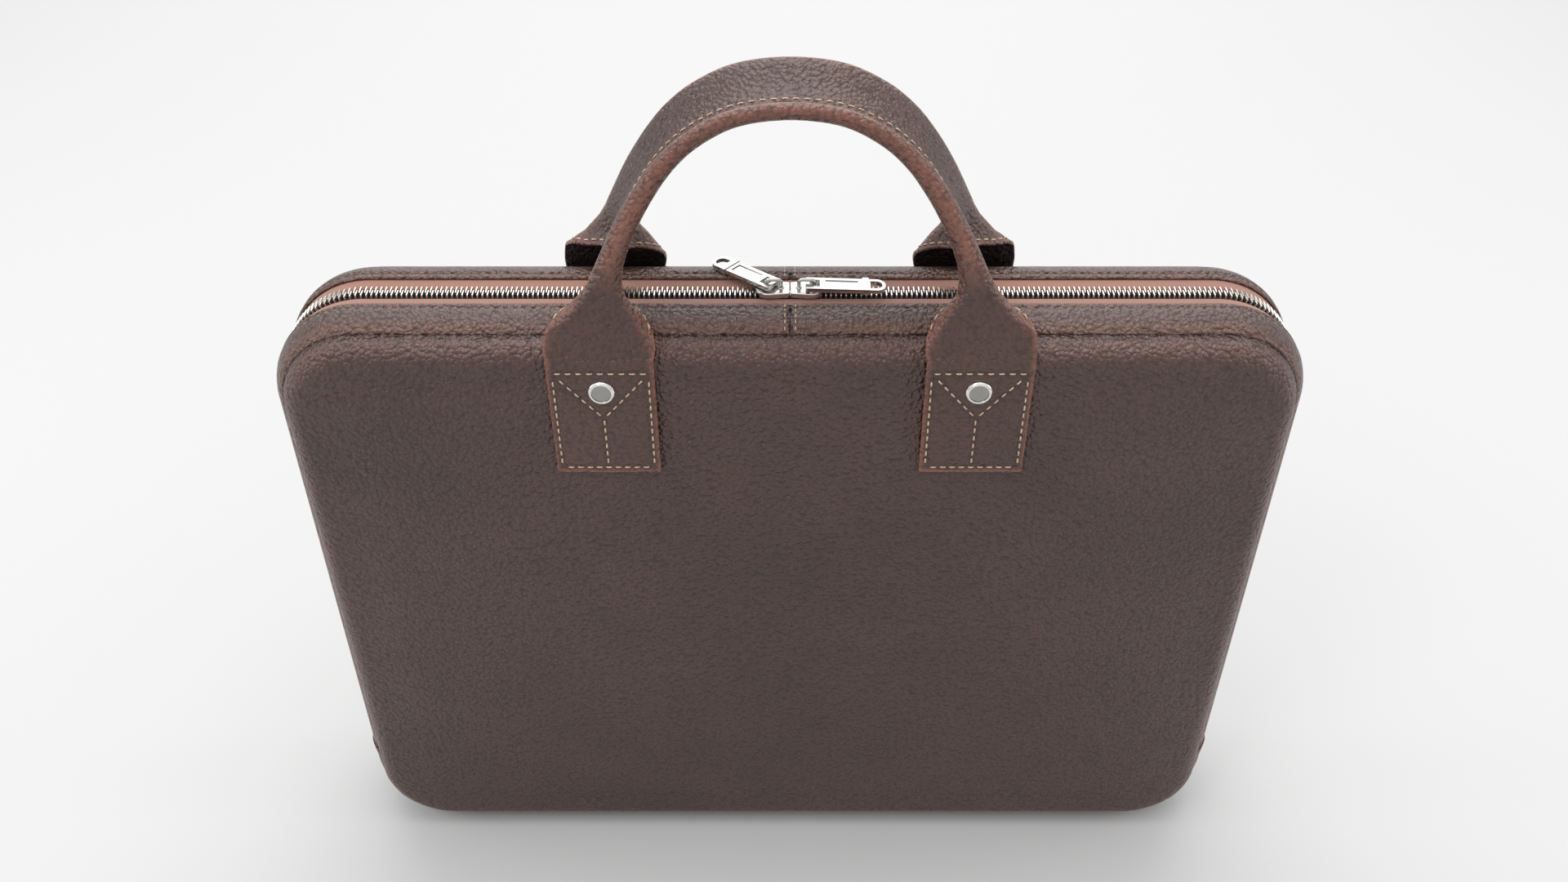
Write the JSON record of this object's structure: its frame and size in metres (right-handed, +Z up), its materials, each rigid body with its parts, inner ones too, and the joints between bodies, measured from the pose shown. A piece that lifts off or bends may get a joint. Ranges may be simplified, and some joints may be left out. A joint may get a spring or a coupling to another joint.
{
  "type": "leather briefcase",
  "caption": "Slim zip-around leather briefcase for a laptop: two padded panels joined by gussets, paired sliders on a top zip, and twin folded-strap handles riveted to the panels.",
  "frame": {"origin": "on the resting surface, under the middle of the case", "axes": "+Z up, +X to the case's right seen from its front, along its length; the front panel faces -Y"},
  "size_m": [0.4, 0.0732, 0.3756],
  "materials": {
    "leather": "satin",
    "lining": "matte",
    "foam": "matte",
    "board": "matte",
    "cord_core": "matte",
    "zip_tape": "matte",
    "zip_metal": "satin",
    "rivet_metal": "satin"
  },
  "bodies": {
    "back_half": {"back_board": "board", "back_foam": "foam", "back_gusset_left": "leather", "back_gusset_lining": "lining", "back_gusset_right": "leather", "back_handle_patch_left": "leather", "back_handle_patch_right": "leather", "back_lining": "lining", "back_panel": "leather", "back_rivet_caps": "rivet_metal", "back_rivet_posts": "rivet_metal", "back_zip_chain": "zip_metal", "back_zip_tape": "zip_tape", "bottom_gusset": "leather", "bottom_lining": "lining", "zip_end_stops": "zip_metal"},
    "front_half": {"front_board": "board", "front_foam": "foam", "front_gusset_left": "leather", "front_gusset_lining": "lining", "front_gusset_right": "leather", "front_handle_patch_left": "leather", "front_handle_patch_right": "leather", "front_lining": "lining", "front_panel": "leather", "front_rivet_caps": "rivet_metal", "front_rivet_posts": "rivet_metal", "front_zip_chain": "zip_metal", "front_zip_tape": "zip_tape"},
    "front_handle": {"front_handle_strap": "leather", "front_handle_core": "cord_core"},
    "back_handle": {"back_handle_strap": "leather", "back_handle_core": "cord_core"},
    "left_slider": {"left_slider_body": "zip_metal", "left_slider_bridge": "zip_metal"},
    "right_slider": {"right_slider_body": "zip_metal", "right_slider_bridge": "zip_metal"},
    "left_pull": {"left_pull_plate": "zip_metal", "left_pull_collar": "zip_metal"},
    "right_pull": {"right_pull_plate": "zip_metal", "right_pull_collar": "zip_metal"}
  },
  "joints": [
    {"name": "case_open", "type": "hinge", "parent": "back_half", "child": "front_half", "pos_m": [0, -0.0237, 0.005], "axis": [1, 0, 0], "range_deg": [0, 30], "deforming": ["front_zip_tape", "front_zip_chain"]},
    {"name": "front_handle_fold", "type": "hinge", "parent": "front_half", "child": "front_handle", "pos_m": [0, -0.0355, 0.275], "axis": [1, 0, 0], "range_deg": [0, 150]},
    {"name": "back_handle_fold", "type": "hinge", "parent": "back_half", "child": "back_handle", "pos_m": [0, 0.0355, 0.275], "axis": [-1, 0, 0], "range_deg": [0, 150]},
    {"name": "left_slider_travel", "type": "slide", "parent": "back_half", "child": "left_slider", "axis": [-1, 0, 0], "range_m": [0, 0.144]},
    {"name": "right_slider_travel", "type": "slide", "parent": "back_half", "child": "right_slider", "axis": [1, 0, 0], "range_m": [0, 0.144]},
    {"name": "left_pull_swing", "type": "hinge", "parent": "left_slider", "child": "left_pull", "pos_m": [-0.0067, 0, 0.2922], "axis": [0.6561, 0.7547, 0], "range_deg": [0, 95]},
    {"name": "right_pull_swing", "type": "hinge", "parent": "right_slider", "child": "right_pull", "pos_m": [0.0067, 0, 0.2922], "axis": [0, -1, 0], "range_deg": [0, 95]}
  ]
}
